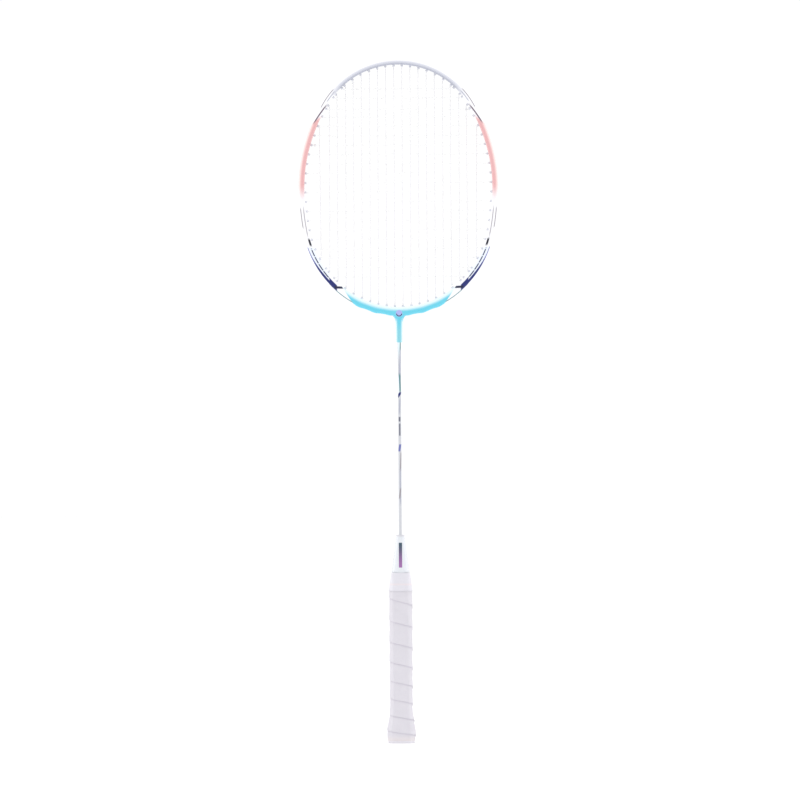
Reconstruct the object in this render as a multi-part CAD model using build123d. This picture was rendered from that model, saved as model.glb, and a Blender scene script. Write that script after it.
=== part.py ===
from build123d import *
import math
import os

# A badminton racket, standing on its butt. Millimetres. +Z runs up the shaft to the crown,
# the string bed lies in the XZ plane, and the front face looks towards -Y. The origin is
# the middle of the butt's lowest face.

# --- head ---------------------------------------------------------------------------------
racket_length = 675.0
head_width = 197.0
crown_rise = 127.0          # widest line of the hoop up to the crown
throat_drop = 126.2         # widest line of the hoop down to the throat
shoulder_radius = 180.0     # middle arc of the three between side and crown
crown_turn = 30.0           # the crown's arc begins where the hoop faces this far up
shoulder_turn = 14.0        # and the shoulder's arc begins here
cheek_radius = 100.0        # middle arc of the three between side and throat
throat_turn = 56.0
cheek_turn = 11.0
rim_width = 5.8             # across the hoop's wall, in the plane of the strings
throat_extra_width = 2.4    # the hoop is this much wider at the throat
rim_depth = 10.5
rim_edge_radius = 2.6
rim_wall = 0.9
cavity_edge_radius = 1.1
groove_width = 3.7
string_cover = 0.05         # the loops in the groove lie this far under the outline

# --- strings ------------------------------------------------------------------------------
string_diameter = 0.70
string_gap = 0.04           # between a main and the cross it passes
main_spacing = 8.0
cross_spacing = 9.28
top_cross_drop = 29.4       # crown down to the highest cross
bottom_cross_rise = 37.0    # throat up to the lowest place for a cross
side_margin = 15.0          # inside of the hoop to the last place for a main
string_bend = 0.80          # radius where a string turns into or out of a grommet
loop_bend = 4.0             # radius where a loop follows the groove
hole_pitch = 3.6            # least distance between two grommets, where their barrels end
spread_rounds = 40          # passes of turning crowded grommets apart
tie_off_skip = 2            # a string's tail goes in at the second grommet along

# --- grommets and knots -------------------------------------------------------------------
grommet_wall = 0.35
bore_clearance = 0.08        # round a string of either kind in a grommet
grommet_flange_radius = 1.55
grommet_flange = 0.35
grommet_stand = 1.9         # barrel showing inside the hoop
shared_bore_extra = 0.15
hole_clearance = 0.05
cut_overrun = 2.0           # how far cutting solids run past what they cut
string_lift = 0.15          # between a loop and the flanges under it
mouth_gap = 0.45            # barrel end to the point where the string turns
knot_radius = 1.25
knot_length = 1.7
knot_setback = 1.3          # string's turning point to the knot
tail_in_knot = 0.7

# --- throat -------------------------------------------------------------------------------
stem_diameter = 4.4
stem_clearance = 0.05
stem_in_shaft = 23.0
core_arm_reach = 15.0
core_clearance = 0.06
core_overlap = 1.0          # of the stem into the arms
fairing_length = 26.8       # below the hoop
fairing_straight = 8.0      # round like the shaft for this far
fairing_neck_width = 8.3    # where the flare begins
fairing_neck_depth = 8.1
fairing_neck_levels = 5     # sections up the neck
fairing_flare_height = 5.0
fairing_flare_width = 19.0  # where it meets the hoop
fairing_flare_depth = 9.2
fairing_flare_levels = 7    # sections up the flare
fairing_seat = 0.3          # the flare runs this far up before its sides stand straight

# --- shaft, cone and ring -----------------------------------------------------------------
shaft_diameter = 7.0
shaft_bore = 4.6
shaft_in_handle = 92.0      # below the cone's base
cone_base_z = 168.0
cone_base_diameter = 17.5
cone_top_diameter = 7.9
cone_height = 35.5
cone_skirt = 6.0            # below the base, under the finishing band
cone_edge = 0.8             # straight edge at the cone's base
ring_height = 1.8
ring_wall = 0.45
glue_clearance = 0.05
cone_skirt_diameter = 15.6
core_spigot_diameter = 12.6
hollow_share = 0.55         # of the cone's height

# --- handle -------------------------------------------------------------------------------
grip_width = 23.2
grip_depth = 22.0
grip_corner = 4.0
grip_thickness = 1.5
butt_width = 29.0
butt_depth = 27.2
butt_widest_z = 8.0
butt_roundness = 5.0        # how far the widest line stands out past the bottom edge
flare_top_z = 35.0
taper_start_z = 150.0
taper_top_width = 18.0
taper_top_depth = 17.8
grip_top_z = 157.0
butt_levels = 4             # sections between the cap and the widest line
flare_levels = 6            # and from there to the flare's top
band_bottom_z = 150.0
band_thickness = 0.35
band_gap = 0.1              # between the band and the cone's base

# --- butt cap, disc and tack --------------------------------------------------------------
cap_thickness = 2.2
cap_inset = 0.8             # cap's edge inside the grip's bottom edge
cap_edge_radius = 1.0
spigot_diameter = 10.0
spigot_length = 9.0
spigot_end_gap = 0.5        # between the spigot's end and the wood
disc_diameter = 15.0
disc_thickness = 0.8
tack_head_diameter = 3.2
tack_head = 0.5
tack_diameter = 1.1
tack_length = 6.0
tack_z = 16.0

# --- derived ------------------------------------------------------------------------------
string_radius = string_diameter / 2
main_plane_y = string_radius + string_gap / 2
cross_plane_y = -main_plane_y
rim_centre_z = racket_length - crown_rise
rim_bottom_z = rim_centre_z - throat_drop
grommet_bore_radius = main_plane_y + string_radius + bore_clearance
loop_height = grommet_flange + string_lift + string_radius
groove_depth = loop_height + string_radius + string_cover
fairing_bottom_z = rim_bottom_z - fairing_length
ring_bottom_z = cone_base_z + cone_height
core_top_z = cone_base_z - cone_skirt
shaft_bottom_z = cone_base_z - shaft_in_handle
UPWARD = (Align.CENTER, Align.CENTER, Align.MIN)
INWARD = (Align.CENTER, Align.CENTER, Align.MAX)


# --- the hoop's outline -------------------------------------------------------------------
class Oval:
    """Closed outline of tangent arcs, the same on both sides. A place on it is named by the
    direction it faces: 0 degrees is the +X side, 90 the crown and 270 the throat."""

    def __init__(self, half_width, rise, drop, inset):
        self.half_width = half_width
        self.upper = self.quarter(rise, shoulder_radius - inset, crown_turn, shoulder_turn)
        self.lower = self.quarter(drop, cheek_radius - inset, throat_turn, cheek_turn)

    def quarter(self, height, middle_radius, end_turn, side_turn):
        """Three arcs as (first direction, radius, centre x, centre z), from the side on. The
        side's and the end's radii are the pair that gives this half width and height."""
        end = math.radians(end_turn)
        side = math.radians(side_turn)
        width_left = self.half_width - middle_radius * (math.cos(side) - math.cos(end))
        height_left = height - middle_radius * (math.sin(end) - math.sin(side))
        across_end, up_end = math.cos(end), 1 - math.sin(end)
        across_side, up_side = 1 - math.cos(side), math.sin(side)
        size = across_end * up_side - across_side * up_end
        end_radius = (width_left * up_side - across_side * height_left) / size
        side_radius = (across_end * height_left - up_end * width_left) / size
        arcs = [(0, side_radius, self.half_width - side_radius, 0)]
        for turn, radius in ((side, middle_radius), (end, end_radius)):
            _, last_radius, x, z = arcs[-1]
            step = last_radius - radius
            arcs.append((math.degrees(turn), radius, x + step * math.cos(turn),
                         z + step * math.sin(turn)))
        return arcs

    def point(self, facing, inset=0):
        """The point that faces this way, or the one this far inside it."""
        across = math.cos(math.radians(facing))
        up = math.sin(math.radians(facing))
        turn = math.degrees(math.asin(min(1, abs(up))))
        arcs = self.upper if up >= 0 else self.lower
        _, radius, x, z = [arc for arc in arcs if arc[0] <= turn + 1e-9][-1]
        side = x + (radius - inset) * abs(across)
        height = z + (radius - inset) * abs(up)
        return math.copysign(side, across), rim_centre_z + math.copysign(height, up)

    def prism(self, inset, depth):
        """Solid inside the outline, or inside the line this far within it."""
        joints = [0, shoulder_turn, crown_turn, 180 - crown_turn, 180 - shoulder_turn, 180,
                  180 + cheek_turn, 180 + throat_turn, 360 - throat_turn, 360 - cheek_turn, 360]
        arcs = []
        for first, last in zip(joints, joints[1:]):
            points = []
            for facing in (first, (first + last) / 2, last):
                x, z = self.point(facing % 360, inset)
                points.append((x, 0, z))
            arcs.append(ThreePointArc(*points))
        face = Face(Wire([arc.edge() for arc in arcs]))
        return extrude(face, amount=depth / 2, dir=(0, 1, 0), both=True)


outside_line = Oval(head_width / 2, crown_rise, throat_drop, 0)
inside_line = Oval(head_width / 2 - rim_width, crown_rise - rim_width,
                   throat_drop - rim_width - throat_extra_width, rim_width)


def rim_normal(angle):
    return math.cos(math.radians(angle)), math.sin(math.radians(angle))


def rim_width_at(angle):
    """Wall of the hoop in the plane of the strings, wider at the throat."""
    x, z = outside_line.point(angle)
    inner_x, inner_z = inside_line.point(angle)
    nx, nz = rim_normal(angle)
    return (x - inner_x) * nx + (z - inner_z) * nz


def ring_body(outer_inset, inner_inset, depth, edge_radius):
    """Oval ring with rounded long edges."""
    hole_depth = depth + cut_overrun
    ring = outside_line.prism(outer_inset, depth) - inside_line.prism(inner_inset, hole_depth)
    long_edges = ring.edges().filter_by(lambda e: abs(abs(e.center().Y) - depth / 2) < 0.01)
    return fillet(long_edges, edge_radius)


# --- where the strings run ----------------------------------------------------------------
def mouth_inset(angle):
    """Inset of the points where strings turn between the bed and the grommets."""
    return rim_width_at(angle) + grommet_stand + mouth_gap


def solve_angle(low, high, axis, target):
    """Rim angle between low and high where the mouth line has this x (axis 0) or z (1)."""
    low_value = outside_line.point(low, mouth_inset(low))[axis]
    for _ in range(60):
        middle = (low + high) / 2
        value = outside_line.point(middle, mouth_inset(middle))[axis]
        if (value - target) * (low_value - target) > 0:
            low = middle
        else:
            high = middle
    return (low + high) / 2


mains_per_side = int((head_width / 2 - rim_width - side_margin) / main_spacing + 0.5)
main_xs = []
for i in range(-mains_per_side, mains_per_side):
    main_xs.append((i + 0.5) * main_spacing)

top_cross_z = racket_length - top_cross_drop
cross_room = top_cross_z - (rim_bottom_z + bottom_cross_rise)
cross_count = int(cross_room / cross_spacing) + 1
cross_zs = [top_cross_z - i * cross_spacing for i in range(cross_count)]


class Hole:
    """One grommet hole, where strings pass through the hoop along its normal."""

    def __init__(self, angle):
        self.angle = angle % 360
        self.users = set()

    def mouth(self):
        return outside_line.point(self.angle, mouth_inset(self.angle))

    def loop(self):
        return outside_line.point(self.angle, groove_depth - loop_height)

    def floor_plane(self):
        """Plane on the groove's floor, with +Z pointing out of the hoop."""
        x, z = outside_line.point(self.angle, groove_depth)
        nx, nz = rim_normal(self.angle)
        return Plane(origin=(x, 0, z), x_dir=(0, 1, 0), z_dir=(nx, 0, nz))

    def is_shared(self):
        return len(self.users) > 1


cross_holes = {}
for z in cross_zs:
    low, high = (0, 89.9) if z > rim_centre_z else (-89.9, 0)
    right = solve_angle(low, high, 1, z)
    cross_holes[z, 1] = Hole(right)
    cross_holes[z, -1] = Hole(180 - right)
for hole in cross_holes.values():
    hole.users.add("cross")

main_holes = {}
for x in main_xs:
    for end, low, high in ((1, 0.1, 179.9), (-1, 180.1, 359.9)):
        own = Hole(solve_angle(low, high, 0, x))
        if abs(x) == max(main_xs):
            own = min(cross_holes.values(), key=lambda h: math.dist(h.mouth(), own.mouth()))
        main_holes[x, end] = own
        own.users.add("main")

all_holes = sorted(set(main_holes.values()) | set(cross_holes.values()), key=lambda h: h.angle)


def spread_out(holes, rounds):
    """Turn neighbouring grommets apart where a main and a cross would meet the rim together."""
    for _ in range(rounds):
        for first, second in zip(holes, holes[1:] + holes[:1]):
            short = hole_pitch - math.dist(first.mouth(), second.mouth())
            if short > 0:
                ahead = Hole(first.angle + 1)
                turn = short / 2 / math.dist(first.mouth(), ahead.mouth())
                first.angle -= turn
                second.angle += turn


spread_out(all_holes, spread_rounds)


def holes_between(first, last):
    """The holes a loop passes over on its shorter way round from first to last."""
    count = len(all_holes)
    i = all_holes.index(first)
    j = all_holes.index(last)
    ahead = (j - i) % count
    step = 1 if ahead <= count - ahead else -1
    passed = []
    k = (i + step) % count
    while k != j:
        passed.append(all_holes[k])
        k = (k + step) % count
    return passed


def tie_off_hole(end_hole, kind):
    """Second grommet along from a string's last one, away from that string's own grommets."""
    count = len(all_holes)
    i = all_holes.index(end_hole)
    for step in (1, -1):
        ahead = [all_holes[(i + step * k) % count] for k in range(1, tie_off_skip + 1)]
        if all(kind not in hole.users for hole in ahead):
            return ahead[-1]
    return all_holes[(i + tie_off_skip) % count]


class Route:
    """Corner points of a string, with the radius at each corner."""

    def __init__(self):
        self.points = []
        self.radii = []

    def add(self, point, radius):
        self.points.append(point)
        self.radii.append(radius)

    def add_loop(self, first, last):
        self.add(first.loop(), string_bend)
        for hole in holes_between(first, last):
            self.add(hole.loop(), loop_bend)
        self.add(last.loop(), string_bend)

    def solid(self, y):
        corners = [(x, y, z) for x, z in self.points]
        path = FilletPolyline(*corners, radius=self.radii[1:-1])
        start = Plane(origin=corners[0], z_dir=Vector(*corners[1]) - Vector(*corners[0]))
        return sweep(start * Circle(string_radius), path=path)


def bed_direction(start, towards):
    length = math.dist(start, towards)
    return (towards[0] - start[0]) / length, (towards[1] - start[1]) / length


class Knot:
    """A knot tied round the string that already uses the tie-off grommet."""

    def __init__(self, tie_hole, other_end, own_y):
        self.mouth = tie_hole.mouth()
        self.run = bed_direction(self.mouth, other_end)
        self.own_y = own_y

    def along(self, distance):
        return self.mouth[0] + self.run[0] * distance, self.mouth[1] + self.run[1] * distance

    def tail_end(self):
        return self.along(knot_setback + tail_in_knot)

    def solid(self):
        """Two turns round the passing string, with the tail let into one end."""
        x, z = self.along(knot_setback)
        passing = Plane(origin=(x, -self.own_y, z), x_dir=(0, 1, 0),
                        z_dir=(self.run[0], 0, self.run[1]))
        turn = knot_length / 2
        bulge = turn / 2
        profile = Polyline((0, 0), (knot_radius - bulge / 2, 0))
        profile += ThreePointArc((knot_radius - bulge / 2, 0), (knot_radius, bulge),
                                 (knot_radius - bulge / 2, turn))
        profile += ThreePointArc((knot_radius - bulge / 2, turn), (knot_radius, turn + bulge),
                                 (knot_radius - bulge / 2, knot_length))
        profile += Polyline((knot_radius - bulge / 2, knot_length), (0, knot_length), (0, 0))
        body = revolve(Plane.XZ * make_face(profile), Axis.Z)
        body -= Cylinder(string_radius + glue_clearance, 3 * knot_length)
        pocket = Cylinder(string_radius, tail_in_knot, align=UPWARD)
        body -= Pos(2 * self.own_y, 0, 0) * pocket
        return passing * body


def other_end_of(hole, kind):
    """Where the run of the string of this kind that uses a hole ends across the bed."""
    table = main_holes if kind == "main" else cross_holes
    for (place, end), candidate in table.items():
        if candidate is hole:
            return table[place, -end].mouth()
    raise ValueError("no run uses this hole")


def string_and_knots(kind, runs, y):
    """A whole string from its runs, each (first hole, last hole), with a knot at each end."""
    other = "cross" if kind == "main" else "main"
    route = Route()
    knots = []
    tie = tie_off_hole(runs[0][0], kind)
    knots.append(Knot(tie, other_end_of(tie, other), y))
    route.add(knots[0].tail_end(), 0)
    route.add(tie.mouth(), string_bend)
    route.add_loop(tie, runs[0][0])
    for number, (first, last) in enumerate(runs):
        route.add(first.mouth(), string_bend)
        route.add(last.mouth(), string_bend)
        if number + 1 < len(runs):
            route.add_loop(last, runs[number + 1][0])
    tie = tie_off_hole(runs[-1][1], kind)
    knots.append(Knot(tie, other_end_of(tie, other), y))
    route.add_loop(runs[-1][1], tie)
    route.add(tie.mouth(), string_bend)
    route.add(knots[1].tail_end(), 0)
    return route, knots


main_runs = []
middle_end = -1 if mains_per_side % 2 else 1
going = middle_end
for x in main_xs:
    main_runs.append((main_holes[x, going], main_holes[x, -going]))
    going = -going

cross_runs = []
going = 1
for z in cross_zs:
    cross_runs.append((cross_holes[z, -going], cross_holes[z, going]))
    going = -going

main_route, main_knots = string_and_knots("main", main_runs, main_plane_y)
cross_route, cross_knots = string_and_knots("cross", cross_runs, cross_plane_y)
tie_holes = set()
for kind, runs in (("main", main_runs), ("cross", cross_runs)):
    tie_holes.add(tie_off_hole(runs[0][0], kind))
    tie_holes.add(tie_off_hole(runs[-1][1], kind))


def ease(share):
    return (1 - math.cos(math.pi * share)) / 2


# --- hoop and grommets --------------------------------------------------------------------
def is_wide(hole):
    """Grommets that take two lengths of string have a wider bore."""
    return hole.is_shared() or hole in tie_holes


def bore_radius(hole):
    return grommet_bore_radius + (shared_bore_extra if is_wide(hole) else 0)


def make_grommet(hole):
    """Flanged barrel, seated on the groove's floor and standing out inside the hoop."""
    bore = bore_radius(hole)
    outside = bore + grommet_wall
    flange = grommet_flange_radius + (shared_bore_extra if is_wide(hole) else 0)
    end = groove_depth - rim_width_at(hole.angle) - grommet_stand
    nose = grommet_wall / 3
    profile = Polyline((bore, end), (outside - nose, end), (outside, end + nose), (outside, 0),
                       (flange, 0), (flange, grommet_flange), (bore, grommet_flange),
                       (bore, end))
    return hole.floor_plane() * revolve(Plane.XZ * make_face(profile), Axis.Z)


def hole_cutter(hole, clearance):
    radius = bore_radius(hole) + grommet_wall + clearance
    length = rim_width_at(hole.angle) + 2 * cut_overrun
    cutter = Cylinder(radius, length, align=INWARD)
    return hole.floor_plane() * Pos(0, 0, cut_overrun) * cutter


def make_rim_body():
    """The hoop's outer shape, with no groove, cavity or holes."""
    return ring_body(0, 0, rim_depth, rim_edge_radius)


def make_cavity(clearance):
    """The hollow inside the hoop, or a core that fits in it with this clearance."""
    wall = rim_wall + clearance
    return ring_body(groove_depth + wall, -wall, rim_depth - 2 * wall,
                     cavity_edge_radius)


def make_head_frame(rim_body):
    groove = outside_line.prism(-cut_overrun, groove_width)
    groove -= outside_line.prism(groove_depth, groove_width + cut_overrun)
    stem_hole = Pos(0, 0, rim_bottom_z - cut_overrun) * Cylinder(
        stem_diameter / 2 + stem_clearance, groove_depth + rim_wall + 2 * cut_overrun,
        align=UPWARD)
    frame = rim_body - groove - make_cavity(0) - stem_hole
    return frame - [hole_cutter(hole, hole_clearance) for hole in all_holes]


def make_throat_core():
    """T-shaped core: arms in the hoop's hollow and a stem down into the shaft."""
    arm_box = Pos(0, 0, rim_bottom_z) * Box(2 * core_arm_reach, 2 * rim_depth, 4 * rim_width)
    stem_bottom_z = fairing_bottom_z - stem_in_shaft
    stem_top_z = rim_bottom_z + groove_depth + rim_wall + core_overlap
    stem = Pos(0, 0, stem_bottom_z) * Cylinder(
        stem_diameter / 2, stem_top_z - stem_bottom_z, align=UPWARD)
    arms = make_cavity(core_clearance) & arm_box
    near = [hole for hole in all_holes if hole.angle > 180 and
            abs(hole.mouth()[0]) < core_arm_reach + hole_pitch]
    return arms + stem - [hole_cutter(hole, 2 * hole_clearance) for hole in near]


def fairing_size_at(z):
    """Width and depth: round at the shaft, easing to the neck, then a hollow curve outwards."""
    straight_top_z = fairing_bottom_z + fairing_straight
    flare_z = rim_bottom_z - fairing_flare_height
    flare_top_z = rim_bottom_z + fairing_seat
    up_neck = min(1, max(0, (z - straight_top_z) / (flare_z - straight_top_z)))
    width = shaft_diameter + (fairing_neck_width - shaft_diameter) * ease(up_neck)
    depth = shaft_diameter + (fairing_neck_depth - shaft_diameter) * ease(up_neck)
    up_flare = min(1, max(0, (z - flare_z) / (flare_top_z - flare_z)))
    spread = 1 - math.sqrt(1 - up_flare ** 2)
    return (width + (fairing_flare_width - fairing_neck_width) * spread,
            depth + (fairing_flare_depth - fairing_neck_depth) * spread)


def make_throat_fairing(rim_body):
    """Neck that flares into the hoop's underside."""
    straight_top_z = fairing_bottom_z + fairing_straight
    flare_z = rim_bottom_z - fairing_flare_height
    flare_top_z = rim_bottom_z + fairing_seat
    levels = [fairing_bottom_z]
    for i in range(fairing_neck_levels):
        levels.append(straight_top_z + (flare_z - straight_top_z) * i / fairing_neck_levels)
    for i in range(fairing_flare_levels + 1):
        turn = math.pi / 2 * i / fairing_flare_levels
        levels.append(flare_z + (flare_top_z - flare_z) * math.sin(turn))
    faces = []
    for z in levels:
        width, depth = fairing_size_at(z)
        faces.append(Pos(0, 0, z) * Ellipse(width / 2, depth / 2))
    neck = loft(faces, ruled=True)
    neck += extrude(faces[-1], amount=rim_edge_radius / 2)
    bore = Pos(0, 0, fairing_bottom_z - cut_overrun) * Cylinder(
        stem_diameter / 2 + stem_clearance, fairing_length + 3 * cut_overrun, align=UPWARD)
    return neck - rim_body - bore


# --- shaft, cone and ring -----------------------------------------------------------------
def tube(outer_diameter, inner_diameter, bottom_z, top_z):
    body = Cylinder(outer_diameter / 2, top_z - bottom_z, align=UPWARD)
    body -= Cylinder(inner_diameter / 2, top_z - bottom_z, align=UPWARD)
    return Pos(0, 0, bottom_z) * body


def make_cone_cap():
    """Cone with a skirt under the finishing band, hollow over the wooden core's spigot."""
    bore = shaft_diameter / 2 + glue_clearance
    base = cone_base_diameter / 2
    top = cone_top_diameter / 2
    skirt = cone_skirt_diameter / 2
    spigot = core_spigot_diameter / 2 + glue_clearance
    outside = Polyline((spigot, -cone_skirt), (skirt, -cone_skirt), (skirt, 0), (base, 0),
                       (base, cone_edge))
    outside += Line((base, cone_edge), (top, cone_height))
    inside = Polyline((top, cone_height), (bore, cone_height), (bore, cone_height * hollow_share),
                      (spigot, cone_edge), (spigot, -cone_skirt))
    return Pos(0, 0, cone_base_z) * revolve(Plane.XZ * make_face(outside + inside), Axis.Z)


def make_cone_ring():
    body = tube(shaft_diameter + 2 * ring_wall, shaft_diameter + 2 * glue_clearance,
                ring_bottom_z, ring_bottom_z + ring_height)
    top_edge = body.edges().group_by(Axis.Z)[-1].sort_by(SortBy.LENGTH)[-1]
    return fillet(top_edge, ring_wall / 2)


# --- handle -------------------------------------------------------------------------------
def grip_size_at(z):
    """Width and depth over the grip at a height: rounded butt, flare, straight, taper."""
    if z < butt_widest_z:
        inward = butt_roundness * (1 - math.sqrt(1 - ((butt_widest_z - z) / butt_widest_z) ** 2))
        return butt_width - inward, butt_depth - inward
    if z < flare_top_z:
        share = ease((z - butt_widest_z) / (flare_top_z - butt_widest_z))
        return (butt_width + (grip_width - butt_width) * share,
                butt_depth + (grip_depth - butt_depth) * share)
    if z < taper_start_z:
        return grip_width, grip_depth
    share = (z - taper_start_z) / (cone_base_z - taper_start_z)
    return (grip_width + (taper_top_width - grip_width) * share,
            grip_depth + (taper_top_depth - grip_depth) * share)


def octagon(z, inset):
    """Eight-sided section of the handle, inset from the grip's surface."""
    width, depth = grip_size_at(z)
    x = width / 2 - inset
    y = depth / 2 - inset
    cut = grip_corner * (width / grip_width) - inset * (2 - math.sqrt(2))
    corners = ((x, cut - y), (x, y - cut), (x - cut, y), (cut - x, y),
               (-x, y - cut), (-x, cut - y), (cut - x, -y), (x - cut, -y))
    return Pos(0, 0, z) * Polygon(*corners, align=None)


def handle_body(bottom_z, top_z, inset):
    """Solid of the handle's shape between two heights."""
    levels = [butt_widest_z, flare_top_z, taper_start_z]
    for i in range(1, butt_levels):
        levels.append(cap_thickness + (butt_widest_z - cap_thickness) * i / butt_levels)
    for i in range(1, flare_levels):
        levels.append(butt_widest_z + (flare_top_z - butt_widest_z) * i / flare_levels)
    levels = [z for z in levels if bottom_z < z < top_z]
    levels = sorted([bottom_z, top_z] + levels)
    return loft([octagon(z, inset) for z in levels], ruled=True)


def make_handle_core(tack):
    """Eight-sided wood, with a spigot for the cone and bores for the shaft and the cap."""
    body = handle_body(cap_thickness, core_top_z, grip_thickness)
    body += Pos(0, 0, core_top_z) * Cylinder(core_spigot_diameter / 2, cone_skirt, align=UPWARD)
    body -= Pos(0, 0, shaft_bottom_z) * Cylinder(
        shaft_diameter / 2 + glue_clearance, racket_length, align=UPWARD)
    body -= Pos(0, 0, cap_thickness) * Cylinder(
        spigot_diameter / 2 + glue_clearance, spigot_length + spigot_end_gap, align=UPWARD)
    return body - tack


def make_grip_wrap(tack):
    """The strip grip as one sleeve of its wound thickness."""
    body = handle_body(cap_thickness, grip_top_z, 0)
    return body - handle_body(cap_thickness, grip_top_z, grip_thickness) - tack


def make_grip_band():
    """Finishing tape over the top of the grip, down on to the cone's skirt."""
    band_top_z = cone_base_z - band_gap
    body = handle_body(band_bottom_z, band_top_z, -band_thickness)
    body -= handle_body(cap_thickness, grip_top_z, 0)
    body -= handle_body(cap_thickness, core_top_z, grip_thickness)
    return body - Pos(0, 0, core_top_z) * Cylinder(
        cone_skirt_diameter / 2, 2 * cone_skirt, align=UPWARD)


def make_grip_tack():
    """Tack driven into the back of the butt's flare, through the start of the strip."""
    surface_y = grip_size_at(tack_z)[1] / 2 - grip_thickness
    out = Plane(origin=(0, surface_y, tack_z), x_dir=(1, 0, 0), z_dir=(0, 1, 0))
    head = tack_head_diameter / 2
    shank = tack_diameter / 2
    profile = Polyline((0, -tack_length), (shank, 2 * shank - tack_length), (shank, 0), (head, 0),
                       (head, tack_head / 2), (head / 2, tack_head), (0, tack_head),
                       (0, -tack_length))
    return out * revolve(Plane.XZ * make_face(profile), Axis.Z)


# --- butt ---------------------------------------------------------------------------------
def make_butt_cap():
    """End plate with a spigot up into the wood and a recess for the disc."""
    plate = extrude(octagon(cap_thickness, cap_inset), amount=cap_thickness, dir=(0, 0, -1))
    plate = fillet(plate.edges().group_by(Axis.Z)[0], cap_edge_radius)
    plate += Pos(0, 0, cap_thickness) * Cylinder(spigot_diameter / 2, spigot_length, align=UPWARD)
    return plate - Cylinder(disc_diameter / 2 + glue_clearance, disc_thickness, align=UPWARD)


def make_butt_disc():
    disc = Cylinder(disc_diameter / 2, disc_thickness, align=UPWARD)
    return chamfer(disc.edges().group_by(Axis.Z)[0], disc_thickness / 4)


# --- build and write ----------------------------------------------------------------------
def sector_of(hole):
    """Which row of grommets a hole belongs to."""
    if is_wide(hole):
        return "shared_grommets"
    if "cross" in hole.users:
        return "grommets_right" if hole.mouth()[0] > 0 else "grommets_left"
    return "grommets_crown" if hole.angle < 180 else "grommets_throat"


def build():
    rim_body = make_rim_body()
    tack = make_grip_tack()
    nodes = {
        "head_frame": make_head_frame(rim_body),
        "throat_t_core": make_throat_core(),
        "throat_fairing": make_throat_fairing(rim_body),
        "shaft": tube(shaft_diameter, shaft_bore, shaft_bottom_z, fairing_bottom_z),
        "cone_cap": make_cone_cap(),
        "cone_ring": make_cone_ring(),
        "handle_core": make_handle_core(tack),
        "butt_cap": make_butt_cap(),
        "butt_disc": make_butt_disc(),
        "grip_wrap": make_grip_wrap(tack),
        "grip_tack": tack,
        "grip_band": make_grip_band(),
        "main_string": main_route.solid(main_plane_y),
        "cross_string": cross_route.solid(cross_plane_y),
        "main_knots": Compound([knot.solid() for knot in main_knots]),
        "cross_knots": Compound([knot.solid() for knot in cross_knots]),
    }
    rows = {}
    for hole in all_holes:
        rows.setdefault(sector_of(hole), []).append(make_grommet(hole))
    for name, grommets in rows.items():
        nodes[name] = Compound(grommets)
    return nodes


os.makedirs("parts", exist_ok=True)
for name, shape in build().items():
    export_step(shape, f"parts/{name}.step")
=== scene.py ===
import math

import bmesh
import bpy
import numpy as np
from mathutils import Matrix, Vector, noise


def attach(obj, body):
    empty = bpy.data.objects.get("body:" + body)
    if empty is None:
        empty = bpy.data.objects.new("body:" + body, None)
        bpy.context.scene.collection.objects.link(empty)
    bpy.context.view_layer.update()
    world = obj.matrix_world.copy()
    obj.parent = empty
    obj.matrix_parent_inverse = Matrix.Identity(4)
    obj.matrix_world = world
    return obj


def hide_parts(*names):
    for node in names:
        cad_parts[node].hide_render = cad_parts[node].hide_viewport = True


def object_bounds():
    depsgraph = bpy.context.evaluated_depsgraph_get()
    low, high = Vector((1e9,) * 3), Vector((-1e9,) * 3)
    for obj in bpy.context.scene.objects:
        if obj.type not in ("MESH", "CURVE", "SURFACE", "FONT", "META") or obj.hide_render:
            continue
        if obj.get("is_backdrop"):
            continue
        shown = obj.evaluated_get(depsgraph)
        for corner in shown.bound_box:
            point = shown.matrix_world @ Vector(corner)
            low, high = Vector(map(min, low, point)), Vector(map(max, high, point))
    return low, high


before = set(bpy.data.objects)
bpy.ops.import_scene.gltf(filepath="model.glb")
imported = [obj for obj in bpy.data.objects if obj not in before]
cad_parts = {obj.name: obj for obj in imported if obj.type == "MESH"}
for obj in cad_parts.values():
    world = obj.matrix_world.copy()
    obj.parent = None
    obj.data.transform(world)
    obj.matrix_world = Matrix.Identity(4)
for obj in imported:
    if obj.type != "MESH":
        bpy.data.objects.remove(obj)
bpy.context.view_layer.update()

MM = 0.001

# --- sizes shared with the CAD source, in millimetres -----------------------------------
racket_length = 675.0
head_width = 197.0
crown_rise = 127.0
throat_drop = 126.2
shoulder_radius = 180.0
crown_turn = 30.0
shoulder_turn = 14.0
cheek_radius = 100.0
throat_turn = 56.0
cheek_turn = 11.0
rim_width = 5.8
throat_extra_width = 2.4
rim_depth = 10.5
rim_edge_radius = 2.6
groove_width = 3.7
groove_depth = 1.25

string_diameter = 0.70
main_plane_y = 0.37
main_spacing = 8.0
mains_per_side = 10
cross_spacing = 9.28
cross_count = 21
top_cross_z = 645.6
grommet_stand = 1.9
mouth_gap = 0.45
hole_pitch = 3.6
spread_rounds = 40
loop_height = 0.85
string_bend = 0.8
loop_bend = 4.0
tie_off_skip = 2
knot_setback = 1.3

grip_width = 23.2
grip_depth = 22.0
grip_corner = 4.0
grip_thickness = 1.5
butt_width = 29.0
butt_depth = 27.2
butt_widest_z = 8.0
butt_roundness = 5.0
flare_top_z = 35.0
taper_start_z = 150.0
taper_top_width = 18.0
taper_top_depth = 17.8
cone_base_z = 168.0

rim_centre_z = racket_length - crown_rise
rim_bottom_z = rim_centre_z - throat_drop
string_radius = string_diameter / 2


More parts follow.
